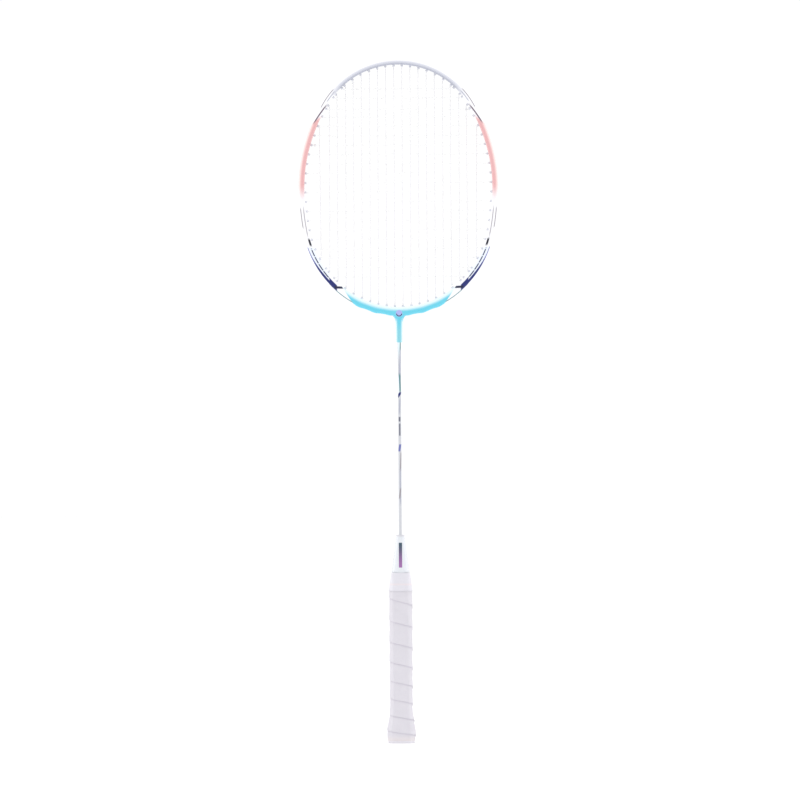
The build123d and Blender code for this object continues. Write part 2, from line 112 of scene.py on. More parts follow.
# --- the hoop's outline, as in the CAD source -------------------------------------------
class Oval:
    """Closed outline of tangent arcs. A place on it is named by the direction it faces:
    0 degrees is the +X side, 90 the crown and 270 the throat."""

    def __init__(self, half_width, rise, drop, inset):
        self.half_width = half_width
        self.upper = self.quarter(rise, shoulder_radius - inset, crown_turn, shoulder_turn)
        self.lower = self.quarter(drop, cheek_radius - inset, throat_turn, cheek_turn)

    def quarter(self, height, middle_radius, end_turn, side_turn):
        end = math.radians(end_turn)
        side = math.radians(side_turn)
        width_left = self.half_width - middle_radius * (math.cos(side) - math.cos(end))
        height_left = height - middle_radius * (math.sin(end) - math.sin(side))
        across_end, up_end = math.cos(end), 1 - math.sin(end)
        across_side, up_side = 1 - math.cos(side), math.sin(side)
        size = across_end * up_side - across_side * up_end
        end_radius = (width_left * up_side - across_side * height_left) / size
        side_radius = (across_end * height_left - up_end * width_left) / size
        arcs = [(0, side_radius, self.half_width - side_radius, 0)]
        for turn, radius in ((side, middle_radius), (end, end_radius)):
            _, last_radius, x, z = arcs[-1]
            step = last_radius - radius
            arcs.append((math.degrees(turn), radius, x + step * math.cos(turn),
                         z + step * math.sin(turn)))
        return arcs

    def point(self, facing, inset=0):
        across = math.cos(math.radians(facing))
        up = math.sin(math.radians(facing))
        turn = math.degrees(math.asin(min(1, abs(up))))
        arcs = self.upper if up >= 0 else self.lower
        _, radius, x, z = [arc for arc in arcs if arc[0] <= turn + 1e-9][-1]
        side = x + (radius - inset) * abs(across)
        height = z + (radius - inset) * abs(up)
        return math.copysign(side, across), rim_centre_z + math.copysign(height, up)


outside_line = Oval(head_width / 2, crown_rise, throat_drop, 0)
inside_line = Oval(head_width / 2 - rim_width, crown_rise - rim_width,
                   throat_drop - rim_width - throat_extra_width, rim_width)


def rim_normal(angle):
    return math.cos(math.radians(angle)), math.sin(math.radians(angle))


def rim_width_at(angle):
    x, z = outside_line.point(angle)
    inner_x, inner_z = inside_line.point(angle)
    nx, nz = rim_normal(angle)
    return (x - inner_x) * nx + (z - inner_z) * nz


# --- where the strings run, as in the CAD source ----------------------------------------
def mouth_inset(angle):
    return rim_width_at(angle) + grommet_stand + mouth_gap


def solve_angle(low, high, axis, target):
    low_value = outside_line.point(low, mouth_inset(low))[axis]
    for _ in range(60):
        middle = (low + high) / 2
        value = outside_line.point(middle, mouth_inset(middle))[axis]
        if (value - target) * (low_value - target) > 0:
            low = middle
        else:
            high = middle
    return (low + high) / 2


class Hole:
    def __init__(self, angle):
        self.angle = angle % 360
        self.users = set()

    def mouth(self):
        return outside_line.point(self.angle, mouth_inset(self.angle))

    def loop(self):
        return outside_line.point(self.angle, groove_depth - loop_height)


main_xs = [(i + 0.5) * main_spacing for i in range(-mains_per_side, mains_per_side)]
cross_zs = [top_cross_z - i * cross_spacing for i in range(cross_count)]

cross_holes = {}
for z in cross_zs:
    low, high = (0, 89.9) if z > rim_centre_z else (-89.9, 0)
    right = solve_angle(low, high, 1, z)
    cross_holes[z, 1] = Hole(right)
    cross_holes[z, -1] = Hole(180 - right)
for hole in cross_holes.values():
    hole.users.add("cross")

main_holes = {}
for x in main_xs:
    for end, low, high in ((1, 0.1, 179.9), (-1, 180.1, 359.9)):
        own = Hole(solve_angle(low, high, 0, x))
        if abs(x) == max(main_xs):
            own = min(cross_holes.values(), key=lambda h: math.dist(h.mouth(), own.mouth()))
        main_holes[x, end] = own
        own.users.add("main")

all_holes = sorted(set(main_holes.values()) | set(cross_holes.values()), key=lambda h: h.angle)
for _ in range(spread_rounds):
    for first, second in zip(all_holes, all_holes[1:] + all_holes[:1]):
        short = hole_pitch - math.dist(first.mouth(), second.mouth())
        if short > 0:
            ahead = Hole(first.angle + 1)
            turn = short / 2 / math.dist(first.mouth(), ahead.mouth())
            first.angle -= turn
            second.angle += turn


def holes_between(first, last):
    count = len(all_holes)
    i = all_holes.index(first)
    j = all_holes.index(last)
    ahead = (j - i) % count
    step = 1 if ahead <= count - ahead else -1
    passed = []
    k = (i + step) % count
    while k != j:
        passed.append(all_holes[k])
        k = (k + step) % count
    return passed


def tie_off_hole(end_hole, kind):
    count = len(all_holes)
    i = all_holes.index(end_hole)
    for step in (1, -1):
        ahead = [all_holes[(i + step * k) % count] for k in range(1, tie_off_skip + 1)]
        if all(kind not in hole.users for hole in ahead):
            return ahead[-1]
    return all_holes[(i + tie_off_skip) % count]


def opposite_mouth(hole, kind):
    """The far end of the run of this kind that uses a hole."""
    table = main_holes if kind == "main" else cross_holes
    for (place, end), candidate in table.items():
        if candidate is hole:
            return table[place, -end].mouth()
    raise ValueError("no run uses this hole")


main_runs = []
going = -1 if mains_per_side % 2 else 1
for x in main_xs:
    main_runs.append((main_holes[x, going], main_holes[x, -going]))
    going = -going
cross_runs = []
going = 1
for z in cross_zs:
    cross_runs.append((cross_holes[z, -going], cross_holes[z, going]))
    going = -going


# --- mesh helpers -----------------------------------------------------------------------
def smoothstep(value):
    value = min(1.0, max(0.0, value))
    return value * value * (3 - 2 * value)


def finish_piece(name, mesh, material, node_names, sharp_degrees):
    mesh.validate()
    ready = bmesh.new()
    ready.from_mesh(mesh)
    bmesh.ops.recalc_face_normals(ready, faces=ready.faces)
    ready.to_mesh(mesh)
    ready.free()
    mesh.shade_smooth()
    mesh.set_sharp_from_angle(angle=math.radians(sharp_degrees))
    mesh.materials.append(material)
    piece = bpy.data.objects.new(name, mesh)
    bpy.context.scene.collection.objects.link(piece)
    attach(piece, "root")
    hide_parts(*node_names)


def grid_mesh(name, grids, loop_along=False):
    """Mesh from grids of points, each (stations, points round, 3) in millimetres, closed
    round each station, with a UV map of (share along, share round). A grid that doesn't
    loop gets end caps. Each grid comes with the mesh's float attributes, by name."""
    vertices = []
    faces = []
    uvs = []
    for points, _ in grids:
        base = len(vertices)
        stations, around = points.shape[:2]
        vertices.extend((points.reshape(-1, 3) * MM).tolist())
        spans = stations if loop_along else stations - 1
        for i in range(spans):
            ahead = (i + 1) % stations
            for j in range(around):
                beside = (j + 1) % around
                faces.append((base + i * around + j, base + i * around + beside,
                              base + ahead * around + beside, base + ahead * around + j))
                uvs += [(i / spans, j / around), (i / spans, (j + 1) / around),
                        ((i + 1) / spans, (j + 1) / around), ((i + 1) / spans, j / around)]
        if not loop_along:
            for i, order in ((0, -1), (stations - 1, 1)):
                faces.append([base + i * around + j for j in range(around)][::order])
                uvs += [(i / spans, j / around) for j in range(around)]
    mesh = bpy.data.meshes.new(name)
    mesh.from_pydata(vertices, [], faces)
    layer = mesh.uv_layers.new(name="UVMap")
    layer.uv.foreach_set("vector", np.array(uvs, np.float32).ravel())
    for key in grids[0][1]:
        values = np.concatenate([columns[key].ravel() for _, columns in grids])
        attribute = mesh.attributes.new(key, "FLOAT", "POINT")
        attribute.data.foreach_set("value", values.astype(np.float32))
    return mesh


def rounded_path(corners, radii, arc_steps=5):
    """The corner points with each corner turned into an arc of its radius, where there is
    room for it."""
    path = [corners[0]]
    for before, at, after, radius in zip(corners, corners[1:], corners[2:], radii[1:]):
        back = (before - at).normalized()
        ahead = (after - at).normalized()
        turn = math.pi - back.angle(ahead)
        if turn < 0.02 or radius <= 0:
            path.append(at)
            continue
        trim = radius * math.tan(turn / 2)
        trim = min(trim, (before - at).length * 0.49, (after - at).length * 0.49)
        radius = trim / math.tan(turn / 2)
        middle = (back + ahead).normalized()
        centre = at + middle * math.hypot(radius, trim)
        start = at + back * trim
        end = at + ahead * trim
        for k in range(arc_steps + 1):
            share = k / arc_steps
            a = math.sin((1 - share) * turn) / math.sin(turn)
            b = math.sin(share * turn) / math.sin(turn)
            path.append(centre + (start - centre) * a + (end - centre) * b)
    path.append(corners[-1])
    return path


def tube_grid(path, radius, around=10):
    """Grid of a round tube along a path, turning with the path and never twisting."""
    count = len(path)
    tangents = []
    for i in range(count):
        tangents.append((path[min(i + 1, count - 1)] - path[max(i - 1, 0)]).normalized())
    side = tangents[0].orthogonal().normalized()
    rings = []
    for i, (centre, tangent) in enumerate(zip(path, tangents)):
        if i:
            side = tangents[i - 1].rotation_difference(tangent) @ side
            side = (side - tangent * side.dot(tangent)).normalized()
        other = tangent.cross(side)
        ring = []
        for j in range(around):
            angle = math.tau * j / around
            ring.append(centre + (side * math.cos(angle) + other * math.sin(angle)) * radius)
        rings.append(ring)
    return np.array([[tuple(p) for p in ring] for ring in rings])


# --- material helpers -------------------------------------------------------------------
MOTTLE = (0.3, 0.7)      # the middle of a noise's range, over which a roughness changes


class Paint:
    """A Principled material, with shorthand for the nodes that feed it. What is painted so
    far is kept in base."""

    def __init__(self, name, roughness, **sockets):
        self.material = bpy.data.materials.new(name)
        self.material.use_nodes = True
        self.tree = self.material.node_tree
        self.shader = self.tree.nodes["Principled BSDF"]
        self.shader.inputs["Roughness"].default_value = roughness
        for key, value in sockets.items():
            self.shader.inputs[key.replace("_", " ")].default_value = value
        scaled = self.node("ShaderNodeVectorMath", operation="SCALE")
        self.put(scaled.inputs[0], self.node("ShaderNodeTexCoord").outputs["Object"])
        scaled.inputs["Scale"].default_value = 1 / MM
        self.place_mm = scaled.outputs[0]
        split = self.node("ShaderNodeSeparateXYZ")
        self.put(split.inputs[0], self.place_mm)
        self.x, self.y, self.z = split.outputs
        self.base = None

    def node(self, kind, **settings):
        made = self.tree.nodes.new(kind)
        for key, value in settings.items():
            setattr(made, key, value)
        return made

    def put(self, socket, value):
        if isinstance(value, bpy.types.NodeSocket):
            self.tree.links.new(value, socket)
        else:
            socket.default_value = value

    def math(self, operation, a, b=0.0, c=0.0):
        made = self.node("ShaderNodeMath", operation=operation)
        for socket, value in zip(made.inputs, (a, b, c)):
            self.put(socket, value)
        return made.outputs[0]

    def times(self, *factors):
        """All the factors multiplied together."""
        whole = factors[0]
        for factor in factors[1:]:
            whole = self.math("MULTIPLY", whole, factor)
        return whole

    def ramp(self, value, low, high, first=0.0, last=1.0):
        """first below low, last above high, and smooth between."""
        made = self.node("ShaderNodeMapRange", interpolation_type="SMOOTHSTEP")
        for socket, number in zip(made.inputs, (value, low, high, first, last)):
            self.put(socket, number)
        return made.outputs[0]

    def fall(self, value, low, high):
        """1 below low, 0 above high, and smooth between."""
        return self.ramp(value, low, high, 1.0, 0.0)

    def band(self, value, low, high, soft):
        """1 between low and high, with soft edges, and 0 outside."""
        return self.times(self.ramp(value, low - soft, low + soft),
                          self.fall(value, high - soft, high + soft))

    def mix(self, share, a, b):
        made = self.node("ShaderNodeMix", data_type="RGBA")
        self.put(made.inputs[0], share)
        for socket, value in ((made.inputs[6], a), (made.inputs[7], b)):
            if isinstance(value, tuple):
                value = (*value, 1.0)
            self.put(socket, value)
        return made.outputs[2]

    def over(self, hue, *masks):
        """Lays a colour over the paint so far, where all the masks let it through."""
        self.base = self.mix(self.times(*masks), self.base, hue)

    def noise(self, scale, detail=3.0, roughness=0.5, place=None):
        """Noise of this many features a millimetre, centred on 0.5."""
        made = self.node("ShaderNodeTexNoise")
        self.put(made.inputs["Vector"], place or self.place_mm)
        made.inputs["Scale"].default_value = scale
        made.inputs["Detail"].default_value = detail
        made.inputs["Roughness"].default_value = roughness
        return made.outputs[0]

    def cell_edges(self, scale):
        """Distance from the edges of a leather-like pattern of cells."""
        made = self.node("ShaderNodeTexVoronoi", feature="DISTANCE_TO_EDGE")
        self.put(made.inputs["Vector"], self.place_mm)
        made.inputs["Scale"].default_value = scale
        return made.outputs["Distance"]

    def stretched(self, x, y, z):
        made = self.node("ShaderNodeVectorMath", operation="MULTIPLY")
        self.put(made.inputs[0], self.place_mm)
        made.inputs[1].default_value = (x, y, z)
        return made.outputs[0]

    def value(self, name):
        return self.node("ShaderNodeAttribute", attribute_name=name).outputs["Fac"]

    def finish(self, pattern, smooth, rough, span=MOTTLE):
        """Puts the paint on the shader, with a roughness that follows a pattern."""
        self.put(self.shader.inputs["Base Color"], self.base)
        self.put(self.shader.inputs["Roughness"], self.ramp(pattern, *span, smooth, rough))

    def bump(self, height, distance_mm):
        made = self.node("ShaderNodeBump")
        made.inputs["Strength"].default_value = 1.0
        made.inputs["Distance"].default_value = distance_mm * MM
        self.put(made.inputs["Height"], height)
        normal = self.shader.inputs["Normal"]
        if normal.links:
            self.put(made.inputs["Normal"], normal.links[0].from_socket)
        self.put(normal, made.outputs[0])


def rgb(red, green, blue):
    """Linear colour from an 8-bit display colour."""
    linear = []
    for value in (red, green, blue):
        value /= 255
        linear.append(value / 12.92 if value <= 0.04045 else ((value + 0.055) / 1.055) ** 2.4)
    return tuple(linear)


white = rgb(244, 244, 248)
# Painted light: the shaft's grey stands for shade, and the near white laid over the sides of the
# shaft and the neck is a painted highlight.
shaft_grey_painted_shade = rgb(200, 202, 208)
painted_edge_highlight = rgb(252, 252, 253)
silver_lilac = rgb(208, 210, 221)
deep_lilac = rgb(172, 175, 190)
pale_pink = rgb(244, 218, 216)
pink = rgb(234, 190, 189)
deep_pink = rgb(225, 171, 173)
warm_grey = rgb(150, 144, 150)
slate = rgb(104, 106, 122)
plum_grey = rgb(112, 96, 110)
ink = rgb(18, 22, 42)
navy = rgb(10, 17, 62)
royal = rgb(16, 30, 108)
ice_blue = rgb(232, 239, 251)
violet_line = rgb(104, 110, 172)
cyan = rgb(102, 203, 226)
deep_cyan = rgb(134, 205, 219)
pale_cyan = rgb(222, 241, 247)
teal_line = rgb(96, 138, 142)
badge_lilac = rgb(168, 176, 232)


# --- paint on the hoop, the throat and the shaft ----------------------------------------
badge_z = 423.6
badge_radius = 3.3
sheen = {"Sheen_Weight": 0.8, "Sheen_Roughness": 0.3}


def lacquer(name, **sockets):
    """Gloss paint over carbon."""
    return Paint(name, 0.28, Specular_IOR_Level=0.3, Coat_Weight=0.35, Coat_Roughness=0.04,
                 **sockets)


def finish_lacquer(paint):
    paint.finish(paint.noise(0.35, 2.0), 0.22, 0.34)
    paint.bump(paint.noise(0.6, 2.0), 0.01)
    return paint.material


def paint_badge(paint):
    """Plain round badge on the front, lilac with a navy lower rim."""
    dz = paint.math("SUBTRACT", paint.z, badge_z)
    radius = paint.math("SQRT", paint.math("ADD", paint.times(paint.x, paint.x),
                                           paint.times(dz, dz)))
    front = paint.fall(paint.y, -1.0, -0.5)
    paint.over(badge_lilac, front, paint.fall(radius, badge_radius - 0.1, badge_radius + 0.1))
    paint.over(navy, paint.band(radius, badge_radius - 1.15, badge_radius - 0.3, 0.1),
               paint.fall(dz, -0.9, 0.4), front)


def make_hoop_paint():
    """Gloss lacquer: silver crown, pink sides, navy cheeks and a cyan throat. Heights are in
    millimetres, and inset is the share of the rim's width in from its outside."""
    paint = lacquer("hoop_lacquer")
    ramp, fall, band, over = paint.ramp, paint.fall, paint.band, paint.over
    inset = paint.value("inset")
    z = paint.z
    off_side = paint.math("ABSOLUTE", paint.x)
    cheeks_down = fall(z, 468, 474)

    def leaning(value, slope, start):
        return paint.math("MULTIPLY_ADD", value, slope, start)

    def stripe(low_z, high_z, soft_z, low_inset, high_inset):
        return paint.times(band(z, low_z, high_z, soft_z),
                           band(inset, low_inset, high_inset, 0.05))

    # The crown: lilac, left white along its outer edge as a painted highlight and darker along its
    # inner edge as painted shade; thin lines on the shoulders.
    paint.base = white
    over(silver_lilac, ramp(z, 636, 652), ramp(inset, 0.15, 0.6))
    over(deep_lilac, ramp(inset, 0.55, 0.95), ramp(z, 636, 650))
    over(warm_grey, stripe(627, 645, 1.5, 0.2, 0.34))
    over(deep_lilac, stripe(633, 643, 1.5, 0.62, 0.76))
    # The pink, paler at its outer edge as a painted highlight and deeper towards the strings as
    # painted shade, and the plum line that leads into it.
    shade = paint.mix(ramp(inset, 0.12, 0.45), pale_pink, pink)
    shade = paint.mix(paint.times(band(inset, 0.45, 0.95, 0.2), 0.9), shade, deep_pink)
    over(shade, band(leaning(inset, -6.0, z), 530.0, 612.0, 2.5), ramp(z, 532, 552))
    over(plum_grey, band(leaning(z, -0.031, inset), -18.74, -18.5, 0.03),
         band(z, 612, 629, 3.0))
    # Grey lines on the white, then the navy cheeks: a white gap between two lines that
    # join, and run out in a point along the inner edge.
    over(warm_grey, stripe(508, 528, 2.0, 0.1, 0.26), 0.95)
    over(warm_grey, stripe(500, 528, 4.0, 0.6, 0.76), 0.8)
    over(ink, stripe(490.5, 497.5, 1.5, 0.56, 0.88))
    over(ice_blue, band(z, 450, 489, 1.0), ramp(off_side, 68, 70), ramp(inset, 0.2, 0.3))
    breaks = ramp(paint.math("SINE", paint.times(z, 0.9)), -0.99, -0.9)
    over(navy, stripe(450, 488, 1.0, 0.54, 0.7), ramp(off_side, 67, 69), breaks)
    over(paint.mix(ramp(z, 466, 482), royal, violet_line), ramp(inset, 0.07, 0.13),
         paint.math("LESS_THAN", inset, ramp(z, 456, 486, 0.44, 0.22)),
         band(z, 449, 489, 1.0), ramp(off_side, 61, 62))
    over(royal, band(off_side, 61.0, 68.5, 0.7), cheeks_down, band(inset, 0.08, 0.7, 0.05))
    over(navy, band(leaning(inset, 12.0, off_side), 65.5, 68.3, 0.6),
         band(off_side, 54.0, 63.5, 0.5), cheeks_down)
    # The throat: cyan that starts as a wedge on the inside and pales to near white towards the
    # inner edge as a painted highlight, with a thin outline outside it.
    over(paint.mix(ramp(inset, 0.4, 0.85), cyan, pale_cyan),
         fall(leaning(inset, -10.5, off_side), 44.5, 46.5), cheeks_down)
    over(teal_line, band(off_side, 46.0, 62.0, 1.5), band(inset, 0.05, 0.16, 0.03),
         cheeks_down)
    paint_badge(paint)
    return finish_lacquer(paint)


def make_throat_paint():
    """Cyan lacquer, with a neck that pales to white towards its sides as a painted highlight."""
    paint = lacquer("throat_lacquer", **sheen)
    paint.base = paint.mix(paint.ramp(paint.z, 402, 418), deep_cyan, cyan)
    off_middle = paint.math("ABSOLUTE", paint.x)
    # Painted highlight: the neck's sides pale to white.
    paint.over(painted_edge_highlight, paint.ramp(off_middle, 1.0, 4.0),
               paint.ramp(paint.z, 414, 420, 0.8, 0.0))
    paint_badge(paint)
    return finish_lacquer(paint)


# Lowest and highest z, softness, slope round the shaft, offset round it, width, colour.
shaft_streaks = (
    (385, 396, 1.5, 0.009, 0.36, 0.5, teal_line),
    (366, 388, 2.0, 0.009, 0.22, 0.4, deep_lilac),
    (374, 396, 2.0, 0.004, -0.6, 0.4, deep_lilac),
    (362, 374, 2.0, 0.0, 0.05, 0.4, deep_lilac),
    (359, 372, 2.0, 0.02, 0.5, 0.3, deep_lilac),
    (345, 362, 3.0, 0.02, -0.35, 0.8, ice_blue),
    (346, 364, 2.0, -0.012, 0.12, 0.5, teal_line),
    (340.5, 346, 0.5, 0.2, -0.15, 0.8, royal),
    (325, 339, 2.0, 0.015, 0.0, 0.4, deep_lilac),
    (317, 321.5, 0.5, 0.0, -0.05, 0.5, slate),
    (303, 315, 0.8, 0.0, 0.0, 0.4, slate),
    (287.5, 294.5, 0.5, 0.06, -0.05, 0.7, violet_line),
    (268, 287, 2.0, 0.014, 0.26, 0.4, warm_grey),
    (236, 270, 3.0, 0.0, 0.08, 0.35, deep_lilac),
    (241, 251, 1.5, 0.03, 0.0, 0.4, warm_grey),
)


def make_shaft_paint():
    """White lacquer, painted grey across the middle as painted shade, with a pale cyan top, short
    plain streaks that wind slowly round, the same on the front and the back, and sides that pale to
    white as a painted highlight."""
    paint = lacquer("shaft_lacquer", **sheen)
    around = paint.math("ARCTAN2", paint.x, paint.times(paint.y, -1.0))
    paint.base = paint.mix(paint.ramp(paint.z, 376, 394), shaft_grey_painted_shade, pale_cyan)
    for low_z, high_z, soft, slope, offset, width, hue in shaft_streaks:
        lean = paint.math("MULTIPLY_ADD", paint.z, slope, offset - slope * (low_z + high_z) / 2)
        folded = paint.math("PINGPONG", paint.math("SUBTRACT", around, lean), math.pi / 2)
        paint.over(hue, paint.fall(folded, width * 0.35, width * 0.65),
                   paint.band(paint.z, low_z, high_z, soft))
    # Painted highlight: the sides pale to white with their distance from the middle plane.
    paint.over(painted_edge_highlight, paint.ramp(paint.math("ABSOLUTE", paint.x), 0.7, 2.5))
    return finish_lacquer(paint)


# --- the other materials ----------------------------------------------------------------
def make_cone_plastic():
    """Gloss white moulding with one plain stripe down the front, violet into dark blue."""
    paint = Paint("cone_gloss", 0.22, Coat_Weight=0.6, Coat_Roughness=0.08)
    low_z, high_z = 173.0, 197.5
    paint.base = paint.mix(paint.noise(0.2, 2.0), rgb(214, 218, 224), rgb(221, 224, 230))
    hue = paint.mix(paint.ramp(paint.z, low_z, high_z), rgb(150, 96, 160), rgb(38, 70, 88))
    paint.over(hue, paint.band(paint.z, low_z, high_z, 0.4),
               paint.fall(paint.math("ABSOLUTE", paint.x), 1.5, 1.8),
               paint.fall(paint.y, -1.5, -0.8))
    paint.finish(paint.noise(0.8, 3.0), 0.18, 0.28)
    paint.bump(paint.noise(2.5, 3.0), 0.006)
    return paint.material


def make_grip_leather():
    """Soft PU: fine leather grain, faint mottling, and painted shade along the seams where the
    turns overlap.
    """
    paint = Paint("grip_pu", 0.5, Sheen_Weight=0.35, Sheen_Roughness=0.4, Coat_Weight=0.12,
                  Coat_Roughness=0.35)
    paint.base = paint.mix(paint.noise(0.09, 3.0), rgb(208, 205, 213), rgb(217, 214, 221))
    grain = paint.cell_edges(2.4)
    paint.over(rgb(196, 192, 204), paint.fall(grain, 0.02, 0.12), 0.18)
    # Painted shadow along each seam, under the edge of the turn above.
    paint.over(rgb(188, 182, 196), paint.value("seam_shade"), 0.45)
    paint.over(rgb(234, 224, 222), paint.ramp(paint.z, 2.0, 9.0, 0.5, 0.0))
    paint.finish(paint.noise(0.5, 4.0), 0.42, 0.58)
    paint.bump(paint.ramp(grain, 0.0, 0.16), 0.03)
    paint.bump(paint.noise(7.0, 4.0), 0.02)
    paint.bump(paint.noise(0.35, 3.0, 0.55, paint.stretched(1.0, 1.0, 2.2)), 0.12)
    return paint.material


def make_band_tape():
    """Thin smooth finishing tape with faint stretch lines."""
    paint = Paint("finishing_tape", 0.38, Coat_Weight=0.25, Coat_Roughness=0.2)
    lines = paint.noise(0.5, 3.0, 0.6, paint.stretched(0.15, 0.15, 2.6))
    paint.base = paint.mix(lines, rgb(211, 209, 217), rgb(220, 218, 226))
    paint.over(rgb(226, 212, 214), paint.band(paint.z, 155.6, 157.4, 0.6), 0.5)
    paint.finish(lines, 0.3, 0.45)
    paint.bump(lines, 0.06)
    return paint.material


def make_string_nylon(name, valley_painted_shade, ridge_painted_highlight):
    """Wound nylon: fine strands that twist round the string under a clear skin, darker in the
    valleys between them as painted shade and lighter on their ridges as a painted highlight.
    """
    paint = Paint(name, 0.3, IOR=1.52, Coat_Weight=0.3, Coat_Roughness=0.15,
                  Subsurface_Weight=0.25, Subsurface_Radius=(0.0004, 0.0004, 0.0004))
    strands = 6
    twist_per_mm = 3.2
    split = paint.node("ShaderNodeSeparateXYZ")
    paint.put(split.inputs[0], paint.node("ShaderNodeUVMap", uv_map="UVMap").outputs[0])
    turned = paint.times(split.outputs[1], math.tau * strands)
    along = paint.times(paint.value("length"), twist_per_mm)
    wave = paint.math("SINE", paint.math("ADD", turned, along))
    # Painted shade in the valleys between strands, painted highlight on their ridges.
    paint.base = paint.mix(paint.ramp(wave, -1, 1), valley_painted_shade, ridge_painted_highlight)
    paint.finish(wave, 0.36, 0.26, span=(-1, 1))
    paint.bump(wave, 0.012)
    return paint.material


def make_core_composite():
    paint = Paint("core_composite", 0.55)
    weave = paint.node("ShaderNodeTexChecker")
    paint.put(weave.inputs["Vector"], paint.place_mm)
    weave.inputs["Scale"].default_value = 0.8
    paint.base = paint.mix(weave.outputs["Fac"], rgb(38, 38, 42), rgb(62, 62, 68))
    paint.finish(paint.noise(1.0), 0.45, 0.65)
    paint.bump(weave.outputs["Fac"], 0.05)
    return paint.material


def make_wood():
    """Straight-grained pale wood."""
    paint = Paint("handle_wood", 0.6)
    grain = paint.noise(0.9, 5.0, 0.6, paint.stretched(1.0, 1.0, 0.05))
    rings = paint.math("SINE", paint.math("MULTIPLY_ADD", grain, 14.0, paint.x))
    paint.base = paint.mix(paint.ramp(rings, -1, 1), rgb(196, 160, 112), rgb(222, 192, 148))
    pores = paint.noise(5.0, 2.0, 0.5, paint.stretched(1.0, 1.0, 0.06))
    paint.over(rgb(150, 112, 70), paint.ramp(pores, 0.62, 0.7), 0.5)
    paint.finish(grain, 0.5, 0.7)
    paint.bump(grain, 0.08)
    return paint.material


def make_plain(name, roughness, hues, mottle, roughs, grain, grain_mm, **sockets):
    """A surface mottled between two colours and two roughnesses, with a fine grain. Each
    pattern is noise, given by its scale and detail."""
    paint = Paint(name, roughness, **sockets)
    paint.base = paint.mix(paint.noise(*mottle), rgb(*hues[0]), rgb(*hues[1]))
    if roughs:
        paint.finish(paint.noise(*roughs[0]), *roughs[1])
    else:
        paint.put(paint.shader.inputs["Base Color"], paint.base)
    paint.bump(paint.noise(*grain), grain_mm)
    return paint.material


def make_moulded(name, hues, grain_mm):
    """Plastic with a fine moulded texture."""
    return make_plain(name, 0.42, hues, (0.6, 2.0), ((2.0, 3.0), (0.36, 0.5)), (5.0, 3.0),
                      grain_mm, Coat_Weight=0.15)


hoop_lacquer = make_hoop_paint()
# Both strings are one white nylon; the main string's darker colours are painted shade.
string_nylon = {
    "main": make_string_nylon("main_string_nylon", rgb(226, 225, 229), rgb(238, 237, 241)),
    "cross": make_string_nylon("cross_string_nylon", rgb(240, 241, 243), rgb(249, 249, 250)),
}
grommet_nylon = make_plain("grommet_nylon", 0.36, ((206, 207, 216), (222, 223, 231)),
                           (0.7, 2.0), ((3.0, 2.0), (0.3, 0.42)), (6.0, 2.0), 0.01, IOR=1.52,
                           Subsurface_Weight=0.2,
                           Subsurface_Radius=(0.0006, 0.0006, 0.0006))
carried_over = {
    "shaft": make_shaft_paint(),
    "cone_cap": make_cone_plastic(),
    "cone_ring": make_plain("ring_plastic", 0.35, ((192, 193, 200), (210, 211, 216)),
                            (1.2, 2.0), None, (4.0, 2.0), 0.01, Coat_Weight=0.3),
    "throat_t_core": make_core_composite(),
    "handle_core": make_wood(),
    "butt_cap": make_moulded("cap_plastic", ((222, 220, 228), (234, 232, 238)), 0.03),
    "butt_disc": make_moulded("disc_plastic", ((186, 188, 204), (202, 204, 218)), 0.015),
    "grip_tack": make_plain("tack_steel", 0.3, ((168, 168, 170), (206, 206, 208)),
                            (2.0, 4.0), ((2.0, 4.0), (0.2, 0.45)), (2.0, 4.0), 0.01,
                            Metallic=1.0),
}
for name in ("grommets_crown", "grommets_throat", "grommets_left", "grommets_right",
             "shared_grommets"):
    carried_over[name] = grommet_nylon
for name, material in carried_over.items():
    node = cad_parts[name]
    if not node.material_slots:
        raise RuntimeError(f"{name} has no material slot")
    for slot in node.material_slots:
        slot.material = material


# --- hoop -------------------------------------------------------------------------------
hoop_stations = 560
throat_swells = (8.0, 24.0, 40.0)    # middles of the loops of string beside the throat
swell_half_width = 7.0
swell_height = 0.7
groove_lip = 0.3
lip_steps = 3
edge_steps = 8
outline_samples = 2880


def swell_at(x, z):
    """How far the groove's walls stand out round a loop of string at the throat."""
    if z > rim_centre_z:
        return 0.0
    height = 0.0
    for middle in throat_swells:
        away = abs(abs(x) - middle) / swell_half_width
        if away < 1:
            height += swell_height * math.cos(away * math.pi / 2) ** 2
    return height


def hoop_section(width):
    """(inset, y) round the hoop's section, from the middle of the groove's floor."""
    half_groove = groove_width / 2
    half_depth = rim_depth / 2
    side = [(groove_depth, 0.0), (groove_depth, half_groove * 0.6), (groove_depth, half_groove),
            (groove_depth * 0.6, half_groove), (groove_lip, half_groove)]
    for k in range(1, lip_steps + 1):
        turn = math.pi / 2 * k / lip_steps
        side.append((groove_lip - groove_lip * math.sin(turn),
                     half_groove + groove_lip - groove_lip * math.cos(turn)))
    corner_y = half_depth - rim_edge_radius
    for k in range(edge_steps + 1):
        turn = math.pi / 2 * k / edge_steps
        side.append((rim_edge_radius - rim_edge_radius * math.cos(turn),
                     corner_y + rim_edge_radius * math.sin(turn)))
    inner_x = width - rim_edge_radius
    side.append(((rim_edge_radius + inner_x) / 2, half_depth))
    for k in range(edge_steps + 1):
        turn = math.pi / 2 * k / edge_steps
        side.append((inner_x + rim_edge_radius * math.sin(turn),
                     corner_y + rim_edge_radius * math.cos(turn)))
    side.append((width, corner_y / 2))
    mirrored = [(d, -y) for d, y in side[:0:-1]]
    return side + [(width, 0.0)] + mirrored


def even_facings(count):
    """Facing directions of points spaced evenly along the outline."""
    fine = np.linspace(0, 360, outline_samples + 1)
    places = np.array([outside_line.point(a) for a in fine])
    steps = np.hypot(*np.diff(places, axis=0).T)
    total = np.concatenate([[0], np.cumsum(steps)])
    return np.interp(np.linspace(0, total[-1], count, endpoint=False), total, fine)


